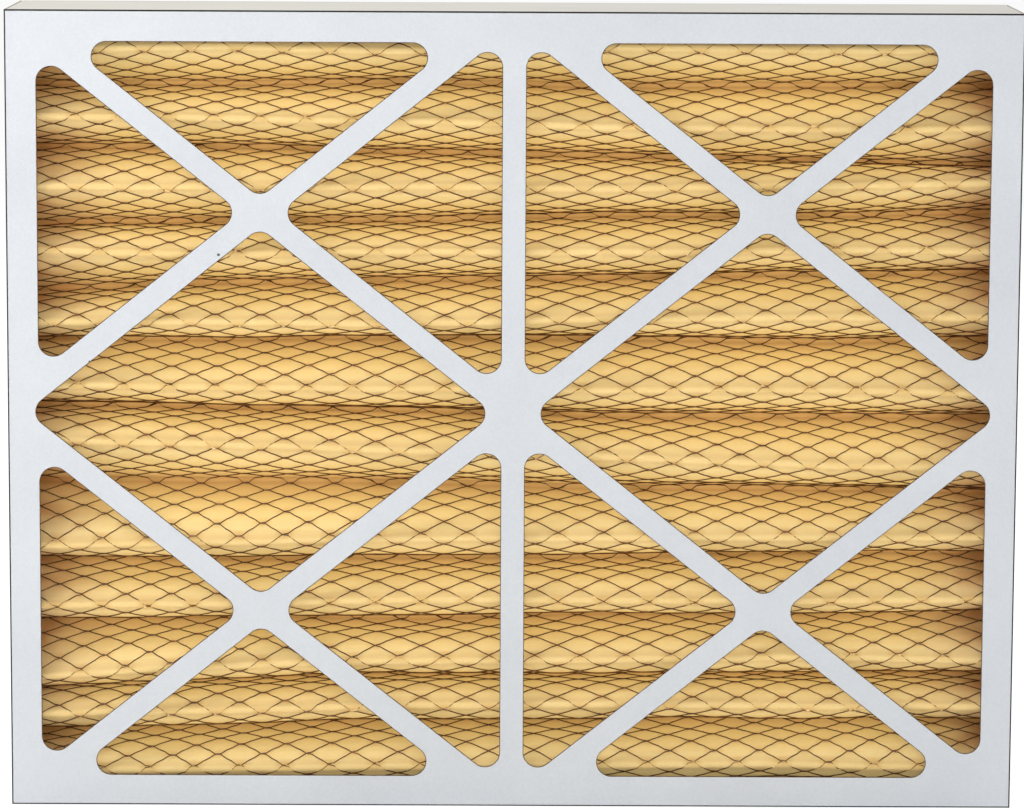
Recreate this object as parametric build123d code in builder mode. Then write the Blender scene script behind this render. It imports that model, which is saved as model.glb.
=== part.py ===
from build123d import *
import math
import os

# A pleated panel air filter of nominal size 20 x 25 x 4 inches: two nested trays of folded board
# hold a pleated media sheet, which a sheet of expanded metal backs on its air-leaving side.
# X is the width, Y the depth and Z the height. The filter stands on one long edge, with its
# air-leaving face towards -Y. The origin is at the middle of the underside. All sizes are in mm.

# Overall size, over the outside of the board
width = 622.3
height = 495.3
depth = 95.25

# Board of the two folded trays, and how they nest in each other
board = 0.7
fold_radius = 1.2
slip_fit = 0.25
tab_gap = 0.15
tab_length = 32.0
tray_end_gap = 0.3

# Die-cut pattern of each face: border, slanted straps and the upright bar in the middle
border = 19.0
strap = 14.0
centre_bar = 14.0
window_radius = 9.5

# Pleated media. The pleats settled unevenly when the pack was glued in: each tip's drift is how far
# it stands above its even place, from the top down
media_thickness = 2.5
front_tip_drift = (-1.5, -5.5, -3.5, -2.5, -5.0, -6.0, -7.0, -19.0, -17.5, -17.0, -4.0, 0.5)
rear_tip_drift = (-8.0, -11.0, -10.5, -9.0, -6.0, -11.0, -19.0, -21.5, -18.5, -16.0, -6.0)
fold_inner_radius = 2.6
seat_gap = 0.3

# Expanded metal on the media: its thickness, and the diamonds opened in each pleat wall, as shares
# of their pitch along the wall and of the wall's rise. A wall that rises too little has none
grid_thickness = 0.8
grid_gap = 0.25
grid_end_gap = 4.0
diamonds_per_wall = 5
diamond_width_share = 0.46
diamond_rise_share = 0.85
diamond_least_rise_share = 0.12

# Adhesive: pads between the pleat tips and the straps that run from corner to corner or upright, and
# films at the ends of the pleats
pad_thickness = 4.0
pad_width = 11.0
pad_height = 5.0
pad_gap = 0.1
film_inset = 6.0

# The slanted straps run from corner to corner and between the middles of neighbouring sides
strap_angle = math.degrees(math.atan2(height, width))
diagonal = math.hypot(width, height)
mid_height = height / 2

# The rear tray slides into the front one, inside its flanges and corner tabs
rear_width = width - 2 * (2 * board + tab_gap + slip_fit)
rear_height = height - 2 * (board + slip_fit)
rear_length = depth - board - tray_end_gap

# Room for the pleats inside the rear tray
inner_half_width = rear_width / 2 - 2 * board - tab_gap - seat_gap
inner_half_height = rear_height / 2 - board - seat_gap
pleat_count = len(front_tip_drift)
pleat_pitch = 2 * inner_half_height / pleat_count

# Where the boards and the pleat tips lie in depth
front_board = -depth / 2 + board
rear_board = depth / 2 - board
grid_front = front_board + pad_thickness + pad_gap
media_front = grid_front + grid_thickness + grid_gap
media_rear = rear_board - pad_thickness - pad_gap

# Folds: the middles of their rounds, at the front and at the rear
fold_radius_outside = fold_inner_radius + media_thickness
fold_radius_middle = fold_inner_radius + media_thickness / 2
fold_centre_front = media_front + fold_radius_outside
fold_centre_rear = media_rear - fold_radius_outside

# Heights of the pleat tips from the top down: the sheet starts and ends in half a rear fold
top_tip = mid_height + inner_half_height
bottom_tip = mid_height - inner_half_height
front_tips = [top_tip - (i + 0.5) * pleat_pitch + drift for i, drift in enumerate(front_tip_drift)]
rear_tips = [top_tip - (i + 1) * pleat_pitch + drift for i, drift in enumerate(rear_tip_drift)]

front_plane = Plane(origin=(0, -depth / 2, mid_height), x_dir=(1, 0, 0), z_dir=(0, 1, 0))
rear_plane = Plane(origin=(0, depth / 2, mid_height), x_dir=(1, 0, 0), z_dir=(0, -1, 0))


def tray(plane, outer_width, outer_height, length):
    """A folded tray: a windowed face on the plane, and flanges that stand length deep behind it."""
    rim = fold_radius + board
    tab_middle = outer_width / 2 - board - tab_gap - board / 2
    flange_middle = outer_height / 2 - board / 2
    with BuildPart(plane) as folded:
        # Face and the folds round it
        Box(outer_width, outer_height, rim, align=(Align.CENTER, Align.CENTER, Align.MIN))
        depth_axis = Axis(plane.origin, plane.z_dir)
        fillet(folded.faces().sort_by(depth_axis)[0].edges(), fold_radius)
        offset(amount=-board, openings=folded.faces().sort_by(depth_axis)[-1])
        # The two long flanges, each folded at both ends into a tab behind the short flange
        with BuildSketch(plane.offset(rim)):
            for side in (-1, 1):
                with BuildLine() as bent:
                    end = side * (flange_middle - tab_length)
                    FilletPolyline(
                        (-tab_middle, end),
                        (-tab_middle, side * flange_middle),
                        (tab_middle, side * flange_middle),
                        (tab_middle, end),
                        radius=fold_radius - board / 2,
                    )
                    offset(amount=board / 2, side=Side.BOTH)
                make_face()
        extrude(amount=length - rim)
        # The two short flanges, over the full height
        with BuildSketch(plane.offset(rim)):
            with Locations((-(outer_width - board) / 2, 0), ((outer_width - board) / 2, 0)):
                Rectangle(board, outer_height)
        extrude(amount=length - rim)
        # Die-cut windows
        with BuildSketch(plane) as windows:
            Rectangle(width - 2 * border, height - 2 * border)
            Polygon((-width / 2, 0), (0, -height / 2), (width / 2, 0), (0, height / 2))
            for side in (-1, 1):
                Rectangle(diagonal, strap, rotation=side * strap_angle, mode=Mode.SUBTRACT)
                with Locations((-width / 4, side * height / 4), (width / 4, -side * height / 4)):
                    Rectangle(diagonal / 2, strap, rotation=side * strap_angle, mode=Mode.SUBTRACT)
            Rectangle(centre_bar, height, mode=Mode.SUBTRACT)
            fillet(windows.vertices(), window_radius)
        extrude(amount=board, both=True, mode=Mode.SUBTRACT)
    return folded.part


def fold_centres():
    """Middles of the folds in the YZ plane, from the top down, with which way each one bulges."""
    centres = [(fold_centre_rear, top_tip, 1)]
    for front, rear in zip(front_tips, [*rear_tips, bottom_tip]):
        centres += [(fold_centre_front, front, -1), (fold_centre_rear, rear, 1)]
    return centres


def wall_normal(upper, lower):
    """Direction from the upper fold's middle to the wall, which crosses over between two folds."""
    along = math.atan2(lower[1] - upper[1], lower[0] - upper[0])
    spacing = math.hypot(lower[1] - upper[1], lower[0] - upper[0])
    turn = math.acos(2 * fold_radius_middle / spacing)
    angle = along + upper[2] * turn
    return Vector(math.cos(angle), math.sin(angle))


def folds():
    """Each fold's middle, which way it bulges, and the directions in which walls and tip touch it."""
    centres = fold_centres()
    normals = [wall_normal(upper, lower) for upper, lower in zip(centres, centres[1:])]
    before = [[]] + [[-normal] for normal in normals]
    after = [[normal] for normal in normals] + [[]]
    return [
        (Vector(y, z), bulge, [*above, Vector(bulge, 0), *below])
        for (y, z, bulge), above, below in zip(centres, before, after)
    ]


def rounded_pleats(towards_front):
    """The pleats' line in the YZ plane, moved towards_front from the media's middle: round folds."""
    ends = []
    for middle, bulge, touching in folds():
        radius = fold_radius_middle - bulge * towards_front
        points = [middle + direction * radius for direction in touching]
        if ends:
            Line(ends[-1], points[0])
        if len(points) == 3:
            ThreePointArc(*points)
        else:
            RadiusArc(*points, radius)
        ends += [points[0], points[-1]]
    return ends[0], ends[-1]


def bent_pleats(towards_front):
    """As rounded_pleats, but each fold is bent in flats that touch the round from outside."""
    points = []
    for middle, bulge, touching in folds():
        radius = fold_radius_middle - bulge * towards_front
        if not points:
            points.append(middle + touching[0] * radius)
        for first, last in zip(touching, touching[1:]):
            between = (first + last).normalized()
            for near, far in ((first, between), (between, last)):
                points.append(middle + (near + far) * (radius / (1 + near.dot(far))))
    points.append(middle + touching[-1] * radius)
    Polyline(*points)
    return points[0], points[-1]


def pleated_sheet(pleats, rear_offset, front_offset, half_width):
    """A pleated sheet between two offsets from the middle of the media."""
    with BuildPart() as sheet:
        with BuildSketch(Plane.YZ):
            with BuildLine():
                rear_ends = pleats(rear_offset)
                front_ends = pleats(front_offset)
                Line(rear_ends[0], front_ends[0])
                Line(rear_ends[1], front_ends[1])
            make_face()
        extrude(amount=half_width, both=True)
    return sheet.part


def strap_places(up):
    """Where the centre bar and the straps from corner to corner cross the height up, inside the border."""
    aside = abs(up) * width / height
    if pad_width < aside < width / 2 - border:
        return [-aside, 0.0, aside]
    return [0.0]


def tip_pads(start, heights):
    """Pads of adhesive between the straps and the pleat tips at these heights, from start to +Y."""
    with BuildPart() as pads:
        for tip in heights:
            with Locations(*[(place, start, tip) for place in strap_places(tip - mid_height)]):
                pad_start = (Align.CENTER, Align.MIN, Align.CENTER)
                Box(pad_width, pad_thickness, pad_height, align=pad_start)
    return pads.part


def piece(name, solid):
    """Labels a finished piece and writes its file."""
    solid.label = name
    export_step(solid, f"parts/{name}.step")


# Pleated media, and the sheet of expanded metal that follows its front
media = pleated_sheet(rounded_pleats, -media_thickness / 2, media_thickness / 2, inner_half_width)
grid_rear = media_thickness / 2 + grid_gap
grid_half_width = inner_half_width - grid_end_gap
grid_sheet = pleated_sheet(bent_pleats, grid_rear, grid_rear + grid_thickness, grid_half_width)

# Diamonds lie on the straight part of each wall, and step sideways from wall to wall
front_reach = fold_radius_middle + grid_rear + grid_thickness
rear_reach = fold_radius_middle - grid_rear
diamond_pitch = 2 * grid_half_width / diamonds_per_wall
half_diamond = diamond_pitch * diamond_width_share / 2
with BuildPart() as grid:
    add(grid_sheet)
    with BuildSketch(Plane.XZ):
        for wall, (upper, lower) in enumerate(zip(fold_centres(), fold_centres()[1:])):
            upper_end = upper[1] - (rear_reach if upper[2] > 0 else front_reach)
            lower_end = lower[1] + (rear_reach if lower[2] > 0 else front_reach)
            if upper_end - lower_end < pleat_pitch * diamond_least_rise_share:
                continue
            half_rise = (upper_end - lower_end) * diamond_rise_share / 2
            step = diamond_pitch / 4 * (1 if wall % 2 else -1)
            with Locations((step, (upper_end + lower_end) / 2)):
                with GridLocations(diamond_pitch, diamond_pitch, diamonds_per_wall, 1):
                    Polygon((-half_diamond, 0), (0, -half_rise), (half_diamond, 0), (0, half_rise))
    extrude(amount=depth, both=True, mode=Mode.SUBTRACT)

# Films of adhesive that close the pleats' ends, level with the corner tabs
film_thickness = board + tab_gap
film_height = rear_height - 2 * (tab_length + film_inset)
film_place = rear_width / 2 - board - film_thickness / 2
with BuildPart() as films:
    with Locations((-film_place, 0, mid_height), (film_place, 0, mid_height)):
        Box(film_thickness, depth - 2 * film_inset, film_height)

os.makedirs("parts", exist_ok=True)
piece("front_tray", tray(front_plane, width, height, depth))
piece("rear_tray", tray(rear_plane, rear_width, rear_height, rear_length))
piece("pleated_media", media)
piece("wire_grid", grid.part)
piece("front_tip_glue", tip_pads(front_board, front_tips))
piece("rear_tip_glue", tip_pads(rear_board - pad_thickness, rear_tips))
piece("side_glue", films.part)
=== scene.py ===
"""A pleated panel air filter: the looks of its board, media, expanded metal and adhesive."""
import math
import bpy
import numpy as np
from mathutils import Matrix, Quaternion, Vector


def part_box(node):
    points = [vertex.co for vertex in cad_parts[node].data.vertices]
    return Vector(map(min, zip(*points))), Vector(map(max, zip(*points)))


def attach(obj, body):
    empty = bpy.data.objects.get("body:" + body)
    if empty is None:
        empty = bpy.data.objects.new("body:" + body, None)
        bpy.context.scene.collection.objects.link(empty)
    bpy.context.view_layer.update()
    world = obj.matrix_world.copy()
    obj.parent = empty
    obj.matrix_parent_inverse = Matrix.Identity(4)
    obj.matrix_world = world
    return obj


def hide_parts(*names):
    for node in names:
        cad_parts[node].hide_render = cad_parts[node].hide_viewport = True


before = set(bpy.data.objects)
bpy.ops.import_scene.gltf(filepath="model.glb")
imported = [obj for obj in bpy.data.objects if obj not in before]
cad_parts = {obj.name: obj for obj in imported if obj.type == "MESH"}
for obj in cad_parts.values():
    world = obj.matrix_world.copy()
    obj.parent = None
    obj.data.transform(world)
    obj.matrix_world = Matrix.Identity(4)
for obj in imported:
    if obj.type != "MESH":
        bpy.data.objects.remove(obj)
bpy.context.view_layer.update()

MM = 0.001

# ---------------------------------------------------------------- sizes, in mm

# The frame's outside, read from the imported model
front_low, front_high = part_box("front_tray")
WIDTH = (front_high[0] - front_low[0]) / MM
HEIGHT = (front_high[2] - front_low[2]) / MM
DEPTH = (front_high[1] - front_low[1]) / MM

# The media, and the folds at its tips
media_low, media_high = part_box("pleated_media")
HALF_WIDTH = media_high[0] / MM
TOP_TIP = media_high[2] / MM
BOTTOM_TIP = media_low[2] / MM
THICKNESS = 2.0
FRONT_RADIUS = 1.35
REAR_RADIUS = 2.6
CENTRE_FRONT = media_low[1] / MM + FRONT_RADIUS + THICKNESS / 2
CENTRE_REAR = media_high[1] / MM - REAR_RADIUS - THICKNESS / 2

# Each tip's height above its even place at the left end, the middle and the right end
FRONT_DRIFT = (
    (-2.5, -1.4, -0.2), (-1.3, -5.7, -8.8), (-5.2, -4.1, -1.1), (-4.4, -3.2, -0.3),
    (-8.0, -5.1, -1.4), (-5.6, -5.8, -7.2), (2.2, -6.7, -15.6), (-23.3, -18.5, -14.9),
    (-20.2, -16.7, -15.0), (-24.9, -13.1, -13.3), (-8.7, -1.3, -1.6), (-2.2, 1.4, 1.8),
)
REAR_DRIFT = (
    (-7.8, -7.3, -8.6), (-6.7, -10.0, -16.4), (-14.6, -9.6, -7.2), (-15.1, -7.6, -3.8),
    (-6.8, -5.6, -5.8), (-7.5, -11.6, -14.9), (-16.2, -17.7, -22.4), (-23.9, -22.2, -17.8),
    (-22.6, -20.3, -13.3), (-21.8, -14.6, -14.8), (-11.4, -4.4, -1.4),
)
PLEATS = len(FRONT_DRIFT)
PITCH = (TOP_TIP - BOTTOM_TIP) / PLEATS

# How far the tips wander up and down along the width, in long waves and in short ones, and how far they sag
LONG_WANDER, SHORT_WANDER, TIP_SAG = 1.3, 0.35, 1.6

# How far the walls bow at the top, how much more at the bottom, how much that varies, and how far the
# bow moves towards the ridges lower down
WALL_BOW, BOW_GAIN, BOW_SPREAD, BOW_SHIFT = 2.7, 1.2, 0.8, 0.5

# Places along the width at which the media is worked out, and steps down each wall and round each fold
MEDIA_COLUMNS, MEDIA_WALL_STEPS, MEDIA_FOLD_STEPS = 150, 7, 5

# Expanded metal: diamonds LONG_WAY wide, from so many strands along the pleats
LONG_WAY = 28.3
STRANDS = 162
STRAND_WIDTH = 0.78
STRAND_HEIGHT = 0.6
STRAND_WOBBLE = 0.35
BOND = 3.2
GRID_GAP = 0.25
GRID_END_GAP = 4.0
COLUMNS_PER_DIAMOND, GRID_WALL_STEPS, GRID_FOLD_STEPS = 8, 10, 8
# On the media's rear, places on the flat sheet are counted on by this many diamonds
REAR_SHIFT = 40

# The painted shade line inside the windows, a rim with the bare fibre's brown: how far it stands out and
# sinks in, and how deep it lies
RIM, RIM_SINK = 0.45, 0.05
RIM_NEAR, RIM_FAR = 0.3, 0.55
# Every window lies at least this far from the filter's edge
EDGE = 10.0

# Marks on the front face: across, up and radius
MARKS = ((-181.0, 345.5, 0.9), (-260.5, 279.0, 0.7), (192.0, 140.0, 0.8))


# ---------------------------------------------------------------- small helpers

def smooth_noise(places, seed, pieces):
    """A smooth random line through about pieces random values, from -1 to 1, at places from 0 to 1."""
    values = np.random.default_rng(seed).uniform(-1, 1, pieces + 3)
    at = np.clip(np.asarray(places), 0, 1) * pieces
    left = np.floor(at).astype(int)
    part = at - left
    part = part * part * (3 - 2 * part)
    return values[left] * (1 - part) + values[left + 1] * part


def mesh_object(name, points, faces, smooth=True, flat=None):
    """A new object from points in mm, riding on the root.

    flat gives each point's place on the flat sheet, in diamonds across and strands along.
    """
    mesh = bpy.data.meshes.new(name)
    mesh.from_pydata([tuple(p) for p in np.asarray(points) * MM], [], [tuple(f) for f in faces])
    mesh.update()
    mesh.polygons.foreach_set("use_smooth", [smooth] * len(mesh.polygons))
    if flat is not None:
        corners = np.zeros(len(mesh.loops), int)
        mesh.loops.foreach_get("vertex_index", corners)
        mesh.uv_layers.new(name="flat").data.foreach_set("uv", np.asarray(flat)[corners].ravel())
    made = bpy.data.objects.new(name, mesh)
    bpy.context.scene.collection.objects.link(made)
    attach(made, "root")
    return made


# ---------------------------------------------------------------- the pleats' surface

def tip_heights(x):
    """Heights of all the tips from the top down, one row a tip, at the places x along the width."""
    along = x / HALF_WIDTH
    share = (along + 1) / 2
    rows = [np.full_like(x, TOP_TIP)]
    for pleat in range(PLEATS):
        for half, drifts in ((0.5, FRONT_DRIFT), (1.0, REAR_DRIFT)):
            even = TOP_TIP - (pleat + half) * PITCH
            if pleat < len(drifts):
                left, middle, right = drifts[pleat]
                bend = (left + right) / 2 - middle
                slope = (right - left) / 2
                drift = middle + slope * along + bend * along * along
                seed = 10 * pleat + int(half * 2)
                drift = drift + LONG_WANDER * smooth_noise(share, seed, 5)
                drift = drift + SHORT_WANDER * smooth_noise(share, 500 + seed, 22)
            else:
                drift = np.zeros_like(x)
            rows.append(even + drift)
    return np.array(rows)


def tip_depths(x):
    """How far each tip's fold stands back from its place in the pack, one row a tip."""
    share = (x / HALF_WIDTH + 1) / 2
    rows = []
    for tip in range(2 * PLEATS + 1):
        sag = 0.5 + 0.5 * smooth_noise(share, 900 + tip, 7)
        rows.append(TIP_SAG * sag)
    return np.array(rows)


def wall_puff(tip, count, side, share, x):
    """How far the wall below a tip bows, at a share of its way down.

    side is 1 below a rear tip, and -1 below a front one.
    """
    # A wall bows outwards, here more and there less, and lower down most near its ridge
    loose = smooth_noise((x / HALF_WIDTH + 1) / 2, 70 + tip, 9)
    near = share if side > 0 else 1 - share
    shape = math.sin(math.pi * near) - BOW_SHIFT * tip / count * math.sin(2 * math.pi * near)
    return -side * (WALL_BOW + BOW_GAIN * tip / count + BOW_SPREAD * loose) * shape


def profile(x, lift, wall_steps, fold_steps):
    """The pleated surface that lies lift mm in front of the media's middle.

    Returns points in mm, as an array of (place along the pleats, place in x, 3).
    """
    heights = tip_heights(x)
    depths = tip_depths(x)
    count = len(heights)
    sides = np.array([1 if tip % 2 == 0 else -1 for tip in range(count)])
    centre_y = np.where(sides[:, None] > 0, CENTRE_REAR - depths, CENTRE_FRONT + depths)
    middle = np.where(sides > 0, REAR_RADIUS, FRONT_RADIUS)
    # The direction of each wall's normal, from the tangent that crosses between two folds
    normals = []
    for tip in range(count - 1):
        dy = centre_y[tip + 1] - centre_y[tip]
        dz = heights[tip + 1] - heights[tip]
        turn = np.arccos((REAR_RADIUS + FRONT_RADIUS) / np.hypot(dy, dz))
        normals.append(np.arctan2(dz, dy) + sides[tip] * turn)
    points = []
    for tip in range(count):
        radius = middle[tip] - sides[tip] * lift
        out = 0.0 if sides[tip] > 0 else math.pi
        first = normals[tip - 1] + math.pi if tip > 0 else np.full_like(x, out)
        last = normals[tip] if tip < count - 1 else np.full_like(x, out)
        first = out + np.angle(np.exp(1j * (first - out)))
        last = out + np.angle(np.exp(1j * (last - out)))
        for step in range(fold_steps + 1):
            angle = first + (last - first) * step / fold_steps
            points.append((centre_y[tip] + radius * np.cos(angle), heights[tip] + radius * np.sin(angle)))
        if tip == count - 1:
            break
        start = points[-1]
        radius_next = middle[tip + 1] - sides[tip + 1] * lift
        angle = normals[tip] + math.pi
        end = (
            centre_y[tip + 1] + radius_next * np.cos(angle),
            heights[tip + 1] + radius_next * np.sin(angle),
        )
        for step in range(1, wall_steps):
            share = step / wall_steps
            puff = wall_puff(tip, count, sides[tip], share, x)
            points.append((
                start[0] + (end[0] - start[0]) * share + puff * np.cos(normals[tip]),
                start[1] + (end[1] - start[1]) * share + puff * np.sin(normals[tip]),
            ))
    grid = np.zeros((len(points), len(x), 3))
    for row, (y, z) in enumerate(points):
        grid[row, :, 0] = x
        grid[row, :, 1] = y
        grid[row, :, 2] = z
    return grid


def distances(surface):
    """The distance along the pleats from the top, at every point of a surface."""
    lengths = np.linalg.norm(np.diff(surface, axis=0), axis=2)
    return np.concatenate([np.zeros((1, surface.shape[1])), np.cumsum(lengths, axis=0)])


def media_object():
    """The media as one closed sheet, a front, a rear and the edges that join them, with its length."""
    columns = np.linspace(-HALF_WIDTH, HALF_WIDTH, MEDIA_COLUMNS)
    front = profile(columns, THICKNESS / 2, MEDIA_WALL_STEPS, MEDIA_FOLD_STEPS)
    rear = profile(columns, -THICKNESS / 2, MEDIA_WALL_STEPS, MEDIA_FOLD_STEPS)
    rows, across = front.shape[:2]
    points = np.concatenate([front.reshape(-1, 3), rear.reshape(-1, 3)])
    index = np.arange(rows * across).reshape(rows, across)
    back = index + rows * across
    faces = []
    for row in range(rows - 1):
        for col in range(across - 1):
            a, b = index[row, col], index[row, col + 1]
            c, d = index[row + 1, col + 1], index[row + 1, col]
            faces.append((a, d, c, b))
            a, b = back[row, col], back[row, col + 1]
            c, d = back[row + 1, col + 1], back[row + 1, col]
            faces.append((a, b, c, d))
    for row in range(rows - 1):
        faces.append((index[row, 0], back[row, 0], back[row + 1, 0], index[row + 1, 0]))
        faces.append((index[row, -1], index[row + 1, -1], back[row + 1, -1], back[row, -1]))
    for col in range(across - 1):
        faces.append((index[0, col], index[0, col + 1], back[0, col + 1], back[0, col]))
        faces.append((index[-1, col], back[-1, col], back[-1, col + 1], index[-1, col + 1]))
    along = distances(front).mean(axis=1)
    flat = np.stack(np.meshgrid(columns / LONG_WAY, along / along[-1] * STRANDS), axis=-1).reshape(-1, 2)
    flat = np.concatenate([flat, flat + (REAR_SHIFT, 0)])
    made = mesh_object("media_sheet", points, faces, flat=flat)
    return made, along[-1]


# ---------------------------------------------------------------- expanded metal

def strand_wave(x, phase):
    """A strand's course between two rows of bonds: -1 to 1, flat at the bonds, over the places x."""
    turn = (x / LONG_WAY + phase) % 1.0
    away = np.abs(turn - 0.5) * 2
    flat = BOND / LONG_WAY
    rise = np.clip((away - flat) / (1 - 2 * flat), 0, 1)
    curve = rise + 0.045 * np.sin(2 * math.pi * rise)
    return 2 * curve - 1


def grid_object():
    """The expanded metal: strands that meet their neighbours at the bonds, laid on the pleats."""
    half = HALF_WIDTH - GRID_END_GAP
    samples = int(2 * half / LONG_WAY * COLUMNS_PER_DIAMOND)
    x = np.linspace(-half, half, samples)
    lift = THICKNESS / 2 + GRID_GAP
    base = profile(x, lift, GRID_WALL_STEPS, GRID_FOLD_STEPS)
    outer = profile(x, lift + STRAND_HEIGHT, GRID_WALL_STEPS, GRID_FOLD_STEPS)
    # Distances are counted alike in every column, so that a row of bonds stays a row
    mean = distances(outer).mean(axis=1)
    total = mean[-1]
    step = total / STRANDS
    column = np.arange(samples)

    def at(surface, distance):
        """Points of the surface at the distance along the pleats, one a column."""
        distance = np.clip(distance, 0, total - 1e-6)
        row = np.searchsorted(mean, distance, side="right") - 1
        row = np.clip(row, 0, len(mean) - 2)
        part = ((distance - mean[row]) / (mean[row + 1] - mean[row]))[:, None]
        return surface[row, column] * (1 - part) + surface[row + 1, column] * part

    points, faces = [], []
    for strand in range(STRANDS):
        middle = (strand + 0.5) * step
        wobble = STRAND_WOBBLE * smooth_noise((x / half + 1) / 2, 3000 + strand, 14)
        reach = step / 2 - STRAND_WIDTH * 0.15
        centre = middle + reach * strand_wave(x, 0.5 * (strand % 2)) + wobble
        ring = [
            at(base, centre - STRAND_WIDTH / 2),
            at(outer, centre),
            at(base, centre + STRAND_WIDTH / 2),
        ]
        first = len(points)
        for col in range(samples):
            points.extend(part[col] for part in ring)
        for col in range(samples - 1):
            a = first + 3 * col
            for side in range(3):
                b = a + side
                c = a + (side + 1) % 3
                faces.append((b, c, c + 3, b + 3))
        faces.append((first, first + 2, first + 1))
        last = first + 3 * (samples - 1)
        faces.append((last, last + 1, last + 2))
    return mesh_object("grid_strands", points, faces, smooth=False)


# ---------------------------------------------------------------- painted shade lines at the windows' cut edges

def cut_edge_shade_lines(node, towards):
    """Thin strips with the brown of the bare fibre, that stand out just inside the windows of a tray whose
    face looks to -Y or +Y and paint the shade line round each window.

    towards is -1 or 1 for the two. Each strip is a closed box along one edge of a window.
    """
    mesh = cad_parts[node].data
    face = max(towards * v.co.y for v in mesh.vertices) / MM
    points, faces = [], []
    for polygon in mesh.polygons:
        if abs(polygon.normal.y) > 0.5:
            continue
        corners = [mesh.vertices[i].co / MM for i in polygon.vertices]
        edge = [corner for corner in corners if towards * corner.y > face - 0.01]
        if len(edge) != 2 or not all(in_window(corner) for corner in edge):
            continue
        first = len(points)
        out = Vector((polygon.normal.x, 0, polygon.normal.z)).normalized()
        for corner in edge:
            for back, away in ((RIM_NEAR, -RIM_SINK), (RIM_NEAR, RIM), (RIM_FAR, RIM), (RIM_FAR, -RIM_SINK)):
                points.append(corner - Vector((0, towards * back, 0)) + out * away)
        box = [(0, 1, 2, 3), (7, 6, 5, 4), (4, 5, 1, 0), (5, 6, 2, 1), (6, 7, 3, 2), (7, 4, 0, 3)]
        if (edge[1] - edge[0]).cross(out).y * towards < 0:
            box = [side[::-1] for side in box]
        faces.extend(tuple(first + corner for corner in side) for side in box)
    return mesh_object(node + "_cut_edge_shade_lines", points, faces, smooth=False)


def in_window(corner):
    """Whether a point of a tray's face lies inside its border, where only windows have edges."""
    return abs(corner.x) < WIDTH / 2 - EDGE and EDGE < corner.z < HEIGHT - EDGE


# ---------------------------------------------------------------- materials

class Nodes:
    """A material's node tree, with short ways to add and join nodes."""

    def __init__(self, name):
        self.material = bpy.data.materials.new(name)
        self.material.use_nodes = True
        self.tree = self.material.node_tree
        self.shader = self.tree.nodes["Principled BSDF"]
        self.coords = self.tree.nodes.new("ShaderNodeTexCoord").outputs["Object"]

    def join(self, source, target):
        self.tree.links.new(source, target)

    def noise(self, scale, detail=3.0, roughness=0.55, stretch=None):
        node = self.tree.nodes.new("ShaderNodeTexNoise")
        node.inputs["Scale"].default_value = scale
        node.inputs["Detail"].default_value = detail
        node.inputs["Roughness"].default_value = roughness
        source = self.coords
        if stretch:
            mapping = self.tree.nodes.new("ShaderNodeMapping")
            mapping.inputs["Scale"].default_value = stretch
            self.join(source, mapping.inputs["Vector"])
            source = mapping.outputs["Vector"]
        self.join(source, node.inputs["Vector"])
        return node.outputs["Fac"]

    def axis(self, name, low, high):
        """The place along an axis, from 0 at low to 1 at high."""
        parts = self.tree.nodes.new("ShaderNodeSeparateXYZ")
        self.join(self.coords, parts.inputs["Vector"])
        node = self.tree.nodes.new("ShaderNodeMapRange")
        node.inputs["From Min"].default_value = low
        node.inputs["From Max"].default_value = high
        self.join(parts.outputs[name], node.inputs["Value"])
        return node.outputs["Result"]

    def math(self, operation, *values):
        node = self.tree.nodes.new("ShaderNodeMath")
        node.operation = operation
        for value, socket in zip(values, node.inputs):
            if isinstance(value, (int, float)):
                socket.default_value = value
            else:
                self.join(value, socket)
        return node.outputs[0]

    def quilt(self):
        """The swell between strands, 0 at a bond and 1 in a diamond's middle, and 1 on the media's rear."""
        place = self.tree.nodes.new("ShaderNodeUVMap")
        place.uv_map = "flat"
        parts = self.tree.nodes.new("ShaderNodeSeparateXYZ")
        self.join(place.outputs["UV"], parts.inputs["Vector"])
        across = self.math("COSINE", self.math("MULTIPLY", parts.outputs["X"], 2 * math.pi))
        along = self.math("COSINE", self.math("MULTIPLY", parts.outputs["Y"], math.pi))
        rear = self.math("GREATER_THAN", parts.outputs["X"], REAR_SHIFT / 2)
        wave = self.math("MULTIPLY", self.math("MULTIPLY", across, along), self.math("SUBTRACT", 1.0, rear))
        return self.math("MULTIPLY_ADD", wave, 0.5, 0.5), rear

    def spot(self, x, z, radius):
        """1 inside a small round mark on the front face, and 0 outside it."""
        node = self.tree.nodes.new("ShaderNodeVectorMath")
        node.operation = "DISTANCE"
        self.join(self.coords, node.inputs[0])
        node.inputs[1].default_value = (x * MM, -DEPTH / 2 * MM, z * MM)
        return self.math("LESS_THAN", node.outputs["Value"], radius * MM)

    def ramp(self, source, stops):
        node = self.tree.nodes.new("ShaderNodeValToRGB")
        elements = node.color_ramp.elements
        while len(elements) < len(stops):
            elements.new(0.5)
        for element, (place, colour) in zip(elements, stops):
            element.position = place
            element.color = (*colour, 1.0)
        self.join(source, node.inputs["Fac"])
        return node.outputs["Color"]

    def mix(self, factor, first, second, blend="MIX"):
        node = self.tree.nodes.new("ShaderNodeMix")
        node.data_type = "RGBA"
        node.blend_type = blend
        for value, socket in ((factor, node.inputs[0]), (first, node.inputs[6]), (second, node.inputs[7])):
            if isinstance(value, (int, float)):
                socket.default_value = value
            elif isinstance(value, tuple):
                socket.default_value = (*value, 1.0)
            else:
                self.join(value, socket)
        return node.outputs[2]

    def bump(self, source, strength, distance, normal=None):
        node = self.tree.nodes.new("ShaderNodeBump")
        node.inputs["Strength"].default_value = strength
        node.inputs["Distance"].default_value = distance
        self.join(source, node.inputs["Height"])
        if normal:
            self.join(normal, node.inputs["Normal"])
        return node.outputs["Normal"]


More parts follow.
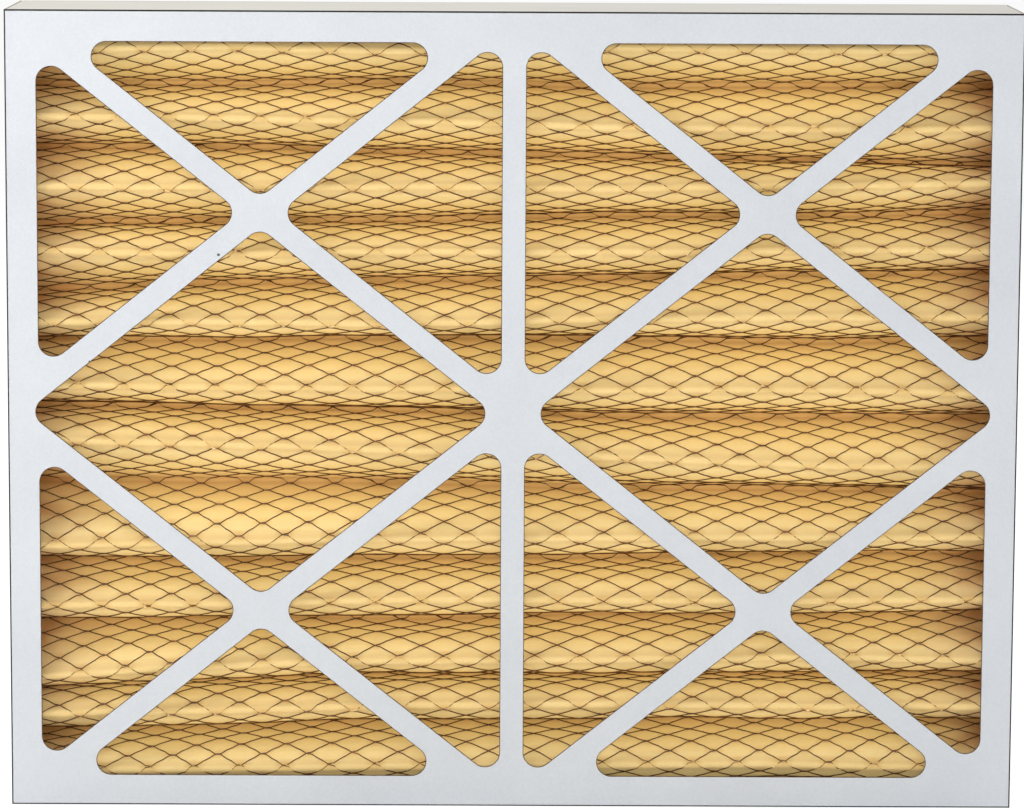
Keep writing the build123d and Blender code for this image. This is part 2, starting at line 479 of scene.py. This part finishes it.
def seen_rays(tree):
    """1 for camera, glossy and transmission rays, and 0 for others."""
    path = tree.nodes.new("ShaderNodeLightPath")
    seen = path.outputs["Is Camera Ray"]
    for other in ("Is Glossy Ray", "Is Transmission Ray"):
        larger = tree.nodes.new("ShaderNodeMath")
        larger.operation = "MAXIMUM"
        tree.links.new(seen, larger.inputs[0])
        tree.links.new(path.outputs[other], larger.inputs[1])
        seen = larger.outputs[0]
    return seen


def linear(red, green, blue):
    """A colour given as 0-255 screen values, as Blender's linear values."""
    def channel(value):
        value /= 255
        return value / 12.92 if value <= 0.04045 else ((value + 0.055) / 1.055) ** 2.4
    return channel(red), channel(green), channel(blue)


def media_material():
    """Golden non-woven fibre that lets some light through, with painted shade in the valleys, round the
    bonds and at the ends, and a painted glow.
    """
    made = Nodes("media_fibre")
    cloud = made.noise(45, 4)
    streak = made.noise(420, 5, 0.7, stretch=(0.12, 1.0, 1.0))
    fibre = made.noise(1100, 5, 0.75)
    colour = made.ramp(cloud, [(0.3, linear(242, 217, 152)), (0.7, linear(250, 230, 170))])
    streaks = made.ramp(streak, [(0.32, linear(230, 202, 138)), (0.7, linear(253, 238, 186))])
    colour = made.mix(0.4, colour, streaks)
    fibres = made.ramp(fibre, [(0.35, linear(224, 196, 132)), (0.65, linear(253, 242, 194))])
    colour = made.mix(0.35, colour, fibres)
    # Between the strands the sheet swells like a quilt, and painted shade darkens it towards the bonds
    quilt, rear = made.quilt()
    dimple_shade = made.ramp(quilt, [(0.0, linear(232, 216, 192)), (0.5, (1, 1, 1))])
    colour = made.mix(1.0, colour, dimple_shade, "MULTIPLY")
    # Painted shade: towards the bottom of the pleats, as each side sees them, it is darker and browner, and
    # the outermost tips are a little darker; the same painted shade dims the painted glow and the light let
    # through
    depth = made.axis("Y", media_low[1], media_high[1])
    depth = made.math("ABSOLUTE", made.math("SUBTRACT", rear, depth))
    fold_shade = made.ramp(depth, [
        (0.0, linear(236, 226, 212)), (0.12, (1, 1, 1)), (0.6, linear(254, 250, 243)),
        (0.85, linear(240, 225, 204)), (1.0, linear(212, 184, 152)),
    ])
    colour = made.mix(1.0, colour, fold_shade, "MULTIPLY")
    # Painted shade at the ends beside the frame's sides: darker and redder, in patches, most where the
    # pleats are deep
    across = made.axis("X", -HALF_WIDTH * MM, HALF_WIDTH * MM)
    ends = made.ramp(across, [
        (0.0, (1, 1, 1)), (0.02, (0.9, 0.9, 0.9)), (0.06, (0.3, 0.3, 0.3)), (0.1, (0, 0, 0)),
        (0.9, (0, 0, 0)), (0.94, (0.3, 0.3, 0.3)), (0.98, (0.9, 0.9, 0.9)), (1.0, (1, 1, 1)),
    ])
    deep = made.ramp(depth, [(0.0, (0.1, 0.1, 0.1)), (0.35, (0.8, 0.8, 0.8)), (1.0, (1, 1, 1))])
    end_shade = made.mix(1.0, ends, deep, "MULTIPLY")
    patch = made.ramp(made.noise(28, 2), [(0.35, (0.5, 0.5, 0.5)), (0.6, (1, 1, 1))])
    end_shade = made.mix(1.0, end_shade, patch, "MULTIPLY")
    colour = made.mix(end_shade, colour, made.mix(1.0, colour, linear(218, 150, 112), "MULTIPLY"))
    made.join(colour, made.shader.inputs["Base Color"])
    # Painted light: an emission that stands in for the light the loose fibres pass on from pleat to pleat,
    # dimmed by the painted fold shade and none at the shaded ends
    glow = made.mix(1.0, (0.149, 0.151, 0.086), fold_shade, "MULTIPLY")
    glow = made.mix(end_shade, glow, (0, 0, 0))
    made.join(glow, made.shader.inputs["Emission Color"])
    made.shader.inputs["Emission Strength"].default_value = 1.0
    made.shader.inputs["Roughness"].default_value = 0.92
    made.shader.inputs["Specular IOR Level"].default_value = 0.15
    swell = made.bump(quilt, 0.5, 0.0008)
    fuzz = made.bump(fibre, 0.5, 0.0003, swell)
    made.join(made.bump(streak, 0.5, 0.0006, fuzz), made.shader.inputs["Normal"])
    # Light passes through the loose fibres
    through = made.tree.nodes.new("ShaderNodeBsdfTranslucent")
    made.join(made.mix(1.0, linear(255, 246, 218), fold_shade, "MULTIPLY"), through.inputs["Color"])
    both = made.tree.nodes.new("ShaderNodeMixShader")
    both.inputs["Fac"].default_value = 0.34
    made.join(made.shader.outputs["BSDF"], both.inputs[1])
    made.join(through.outputs["BSDF"], both.inputs[2])
    made.join(both.outputs["Shader"], made.tree.nodes["Material Output"].inputs["Surface"])
    return made.material


def board_material():
    """Clay-coated board, with duller flanks, and folds painted near black for the shadow in the gap between
    the trays and the board's dark cut edge.
    """
    made = Nodes("coated_board")
    cloud = made.noise(14, 3)
    grain = made.noise(700, 3, 0.6)
    colour = made.ramp(cloud, [(0.3, linear(183, 186, 190)), (0.7, linear(189, 192, 195))])
    grains = made.ramp(grain, [(0.35, linear(171, 174, 179)), (0.65, linear(199, 201, 203))])
    colour = made.mix(0.18, colour, grains)
    # The flanks are duller and warmer than the two faces. The folds between them are painted near black:
    # painted shadow of the gap between the trays, with the board's dark cut edge
    geometry = made.tree.nodes.new("ShaderNodeNewGeometry")
    lengths = made.tree.nodes.new("ShaderNodeVectorMath")
    lengths.operation = "ABSOLUTE"
    made.join(geometry.outputs["True Normal"], lengths.inputs[0])
    parts = made.tree.nodes.new("ShaderNodeSeparateXYZ")
    made.join(lengths.outputs[0], parts.inputs["Vector"])
    flank = made.ramp(parts.outputs["Y"], [(0.2, (1, 1, 1)), (0.4, (0, 0, 0))])
    colour = made.mix(flank, colour, made.mix(1.0, colour, linear(242, 234, 219), "MULTIPLY"))
    crease_shade = made.ramp(parts.outputs["Y"], [
        (0.03, (0, 0, 0)), (0.07, (1, 1, 1)), (0.975, (1, 1, 1)), (0.99, (0, 0, 0)),
    ])
    colour = made.mix(crease_shade, colour, linear(36, 33, 32))
    for x, z, radius in MARKS:
        colour = made.mix(made.spot(x, z, radius), colour, linear(92, 84, 78))
    made.join(colour, made.shader.inputs["Base Color"])
    made.shader.inputs["Roughness"].default_value = 0.7
    made.shader.inputs["Specular IOR Level"].default_value = 0.08
    made.join(made.bump(grain, 0.12, 0.0003), made.shader.inputs["Normal"])
    return made.material


def grid_material():
    """Expanded metal, painted dark brown for the shade beside its strands and the dark surroundings and
    brown media they mirror, with painted glints over the ridges.
    """
    made = Nodes("expanded_metal")
    tint = made.noise(160, 2)
    # Painted shade and reflection: the grey steel is given a dull dark brown, for the shade beside the
    # strands and the dark surroundings and brown media they mirror
    colour = made.ramp(tint, [(0.35, linear(72, 44, 22)), (0.7, linear(116, 78, 40))])
    # Painted glints: bright specks on the strands over the ridges, where they catch the light
    depth = made.axis("Y", media_low[1], media_high[1])
    ridge = made.ramp(depth, [(0.015, (1, 1, 1)), (0.045, (0, 0, 0))])
    painted_glint = made.ramp(made.noise(330, 3), [(0.5, (0, 0, 0)), (0.6, (0.8, 0.8, 0.8))])
    colour = made.mix(made.mix(1.0, ridge, painted_glint, "MULTIPLY"), colour, linear(226, 192, 128))
    made.join(colour, made.shader.inputs["Base Color"])
    made.shader.inputs["Metallic"].default_value = 0.5
    made.shader.inputs["Roughness"].default_value = 0.45
    return made.material


def shade_line_material():
    """The brown of the bare fibre in the board's cut edges, on the strips that paint the shade line round
    the windows.
    """
    made = Nodes("fibre_shade_line")
    colour = made.ramp(made.noise(500, 2), [(0.35, linear(60, 40, 28)), (0.65, linear(104, 74, 52))])
    made.join(colour, made.shader.inputs["Base Color"])
    made.shader.inputs["Roughness"].default_value = 0.9
    return made.material


def glue_material():
    """Dried brown adhesive."""
    made = Nodes("dried_glue")
    cloud = made.noise(80, 3)
    colour = made.ramp(cloud, [(0.3, linear(120, 72, 44)), (0.7, linear(158, 104, 66))])
    made.join(colour, made.shader.inputs["Base Color"])
    made.shader.inputs["Roughness"].default_value = 0.5
    made.join(made.bump(cloud, 0.3, 0.001), made.shader.inputs["Normal"])
    return made.material


def give(target, material):
    """Makes material the one material of an object."""
    target.data.materials.clear()
    target.data.materials.append(material)


# ---------------------------------------------------------------- light, floor and camera

def floor():
    """A wide pale floor, which the camera sees nearly white at any distance."""
    reach = 14
    corners = [(-reach, -reach, 0), (reach, -reach, 0), (reach, reach, 0), (-reach, reach, 0)]
    mesh = bpy.data.meshes.new("floor")
    mesh.from_pydata(corners, [], [(0, 1, 2, 3)])
    made = bpy.data.objects.new("floor", mesh)
    bpy.context.scene.collection.objects.link(made)
    nodes = Nodes("pale_floor")
    nodes.shader.inputs["Base Color"].default_value = (0.88, 0.88, 0.88, 1)
    nodes.shader.inputs["Roughness"].default_value = 0.9
    glow = nodes.tree.nodes.new("ShaderNodeEmission")
    glow.inputs["Color"].default_value = (0.87, 0.87, 0.87, 1)
    matt = nodes.tree.nodes.new("ShaderNodeBsdfDiffuse")
    matt.inputs["Color"].default_value = (0.22, 0.22, 0.22, 1)
    pale = nodes.tree.nodes.new("ShaderNodeAddShader")
    nodes.join(matt.outputs["BSDF"], pale.inputs[0])
    nodes.join(glow.outputs["Emission"], pale.inputs[1])
    both = nodes.tree.nodes.new("ShaderNodeMixShader")
    nodes.join(seen_rays(nodes.tree), both.inputs["Fac"])
    nodes.join(nodes.shader.outputs["BSDF"], both.inputs[1])
    nodes.join(pale.outputs["Shader"], both.inputs[2])
    nodes.join(both.outputs["Shader"], nodes.tree.nodes["Material Output"].inputs["Surface"])
    give(made, nodes.material)


def lamp(name, place, target, size, power, colour=(1, 1, 1)):
    """A soft lamp that faces its target and that the camera doesn't see."""
    data = bpy.data.lights.new(name, "AREA")
    data.shape = "RECTANGLE"
    data.size, data.size_y = size
    data.energy = power
    data.color = colour
    made = bpy.data.objects.new(name, data)
    bpy.context.scene.collection.objects.link(made)
    made.location = place
    made.rotation_euler = (Vector(target) - Vector(place)).to_track_quat("-Z", "Y").to_euler()
    made.visible_camera = False


def lights():
    """A studio: soft lamps all round, and a sky that is dimmer than it looks."""
    middle = (0, 0, HEIGHT * MM / 2)
    lamp("key", (-0.78, -0.62, 0.92), (-0.2, 0, 0.4), (0.5, 0.5), 5.6, (1, 0.985, 0.96))
    lamp("front", (0.0, -3.0, 0.7), middle, (1.8, 1.2), 51)
    lamp("back", (0, 2.4, 1.9), middle, (1.6, 1.0), 34)
    lamp("left", (-2.6, 0.7, 1.0), middle, (1.4, 1.4), 42)
    lamp("right", (2.6, 0.7, 1.0), middle, (1.4, 1.4), 42)
    lamp("above", (0, 0.1, 3.2), middle, (1.5, 1.5), 26)
    world = bpy.data.worlds.new("studio")
    world.use_nodes = True
    tree = world.node_tree
    background = tree.nodes["Background"]
    background.inputs["Color"].default_value = (0.93, 0.96, 1, 1)
    background.inputs["Strength"].default_value = 0.4
    white = tree.nodes.new("ShaderNodeBackground")
    white.inputs["Color"].default_value = (1, 1, 1, 1)
    both = tree.nodes.new("ShaderNodeMixShader")
    tree.links.new(seen_rays(tree), both.inputs["Fac"])
    tree.links.new(background.outputs["Background"], both.inputs[1])
    tree.links.new(white.outputs["Background"], both.inputs[2])
    tree.links.new(both.outputs["Shader"], tree.nodes["World Output"].inputs["Surface"])
    bpy.context.scene.world = world


def camera():
    """The camera stands above the top edge, so that the frame's top shows and the pleats lean up."""
    distance = 2600.0
    rise = 156.0
    sideways = -12.0
    pitch, roll, yaw = math.radians(7.594), math.radians(0.28), math.radians(0.245)
    focal_length, picture_width = 4269.6, 1024
    data = bpy.data.cameras.new("camera")
    data.sensor_width = 36.0
    data.lens = focal_length / picture_width * data.sensor_width
    data.shift_y = -0.08
    made = bpy.data.objects.new("camera", data)
    bpy.context.scene.collection.objects.link(made)
    made.location = (sideways * MM, (-DEPTH / 2 - distance) * MM, (HEIGHT + rise) * MM)
    look = Vector((math.sin(yaw) * math.cos(pitch), math.cos(yaw) * math.cos(pitch), -math.sin(pitch)))
    made.rotation_euler = (look.to_track_quat("-Z", "Y") @ Quaternion((0, 0, 1), roll)).to_euler()
    bpy.context.scene.camera = made


# ---------------------------------------------------------------- the object

board = board_material()
for node in ("front_tray", "rear_tray"):
    give(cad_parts[node], board)
edge = shade_line_material()
for node, towards in (("front_tray", -1), ("rear_tray", 1)):
    give(cut_edge_shade_lines(node, towards), edge)
glue = glue_material()
for node in ("front_tip_glue", "rear_tip_glue", "side_glue"):
    give(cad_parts[node], glue)

media, media_length = media_object()
give(media, media_material())
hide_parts("pleated_media")

grid = grid_object()
give(grid, grid_material())
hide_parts("wire_grid")

floor()
lights()
camera()
bpy.context.scene.view_settings.view_transform = "Standard"
